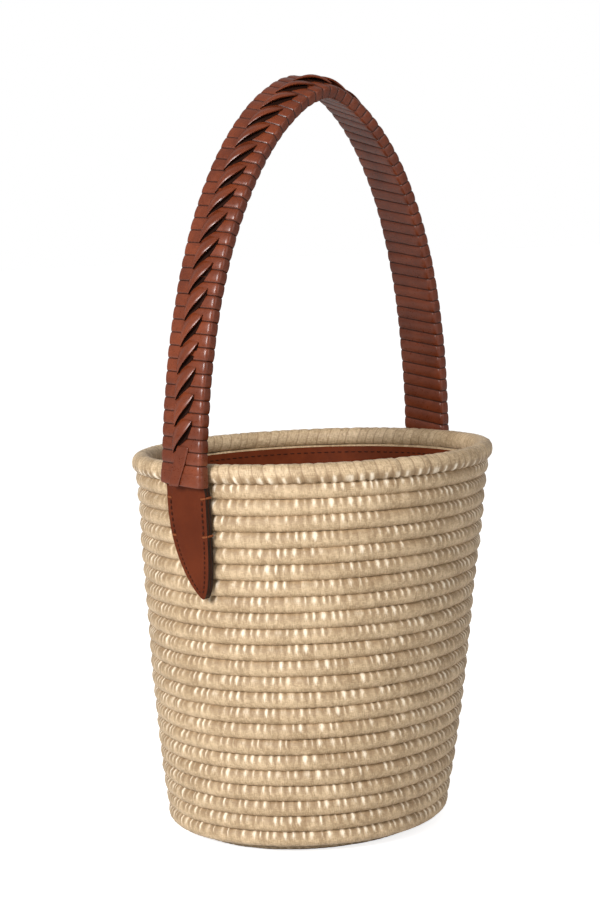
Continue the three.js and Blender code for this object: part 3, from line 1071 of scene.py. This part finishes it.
bright_thread = thread_finish("bar_thread", THREAD_BRIGHT)
face_lift = 2 * TAB_LAYER + 0.3 * MM
for end in ("near", "far"):
    placed = tab_matrix(end)
    for layer_name, lift, soft, node in (
        ("_tab_back", TAB_LAYER, 0.0, "_tab_backing"),
        ("_tab_front", face_lift, 0.35 * MM, "_tab_face"),
    ):
        layer = tab_layer(end + layer_name, lift, soft)
        layer.data.transform(placed)
        finish_piece(layer, [strap_leather, edge_paint], [end + node], None)
        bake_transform(layer)

    on_face = face_lift - 0.1 * MM
    shares = np.linspace(SEWN_SHARE + 0.03, 0.93, 24)
    turn_down = [seam_place(-1, share, on_face) for share in shares]
    turn_up = [seam_place(1, share, on_face) for share in shares[::-1]]
    fine = run_stitches(turn_down + turn_up, 3.1 * MM, 2.5 * MM, 0.5 * MM)
    seam = join(fine, end + "_tab_edge_stitches")
    seam.data.transform(placed)
    finish_piece(seam, [thread], [end + "_tab_edge_stitching"], "basket")

    for side, word in ((-1, "left"), (1, "right")):
        path = [seam_place(side, share, on_face) for share in np.linspace(0.05, SEWN_SHARE - 0.01, 16)]
        heavy = run_stitches(path, 3.9 * MM, 3.0 * MM, 0.75 * MM)
        heavy += [bar(side, TOP_BAR, face_lift), bar(side, SEWN_SHARE, face_lift)]
        lashing = join(heavy, f"{end}_tab_{word}_stitches")
        lashing.data.transform(placed)
        finish_piece(lashing, [thread, bright_thread], [f"{end}_tab_{word}_lashing"], "basket")


# --- Studio -----------------------------------------------------------------------------------------
# A plain white floor and background, a large soft light from the upper left, and a weak one beside it. The
# floor glows a little and the background is at its full white only where they are looked at directly.
FLOOR_GLOW = 0.78
AMBIENT = 0.37
bpy.ops.object.select_all(action="DESELECT")
bpy.ops.mesh.primitive_plane_add(size=60)
floor = bpy.context.object
floor.name = "floor"
floor_white, floor_tree, floor_shader = new_material("floor_white", 0.9, 0.1)
floor_shader.inputs["Base Color"].default_value = (0.80, 0.79, 0.78, 1)
floor_shader.inputs["Emission Color"].default_value = (1, 1, 1, 1)
seen = add_node(floor_tree, "LightPath").outputs["Is Camera Ray"]
glow = math_node(floor_tree, "MULTIPLY", seen, FLOOR_GLOW)
floor_tree.links.new(glow, floor_shader.inputs["Emission Strength"])
floor.data.materials.append(floor_white)

world = bpy.data.worlds.new("studio")
bpy.context.scene.world = world
world.use_nodes = True
backdrop = world.node_tree.nodes["Background"]
backdrop.inputs["Color"].default_value = (1, 1, 1, 1)
seen = add_node(world.node_tree, "LightPath").outputs["Is Camera Ray"]
lit_by = math_node(world.node_tree, "MULTIPLY_ADD", seen, 1 - AMBIENT, AMBIENT)
world.node_tree.links.new(lit_by, backdrop.inputs["Strength"])

target = Vector((0, 0, 0.24))
for name, place, size, power in (
    ("key", (-1.95, -0.08, 1.15), 0.7, 52),
    ("fill", (-0.1, -2.0, 1.0), 1.4, 12),
):
    lamp = bpy.data.lights.new(name, "AREA")
    lamp.size = size
    lamp.energy = power
    lit = bpy.data.objects.new(name, lamp)
    lit.location = place
    lit.rotation_euler = (target - Vector(place)).to_track_quat("-Z", "Y").to_euler()
    bpy.context.scene.collection.objects.link(lit)

bpy.context.scene.view_settings.view_transform = "Standard"

CAMERA_PLACE = (-0.9995, -0.9093, 0.3915)
CAMERA_HEADING = -0.8272
CAMERA_DOWN = 0.1041
CAMERA_ROLL = -0.0456
camera = bpy.data.objects.new("camera", bpy.data.cameras.new("camera"))
camera.data.lens = 81.06
camera.data.sensor_width = 36
camera.matrix_world = (
    Matrix.Translation(CAMERA_PLACE)
    @ Matrix.Rotation(CAMERA_HEADING, 4, "Z")
    @ Matrix.Rotation(math.pi / 2 - CAMERA_DOWN, 4, "X")
    @ Matrix.Rotation(CAMERA_ROLL, 4, "Z")
)
bpy.context.scene.collection.objects.link(camera)
bpy.context.scene.camera = camera
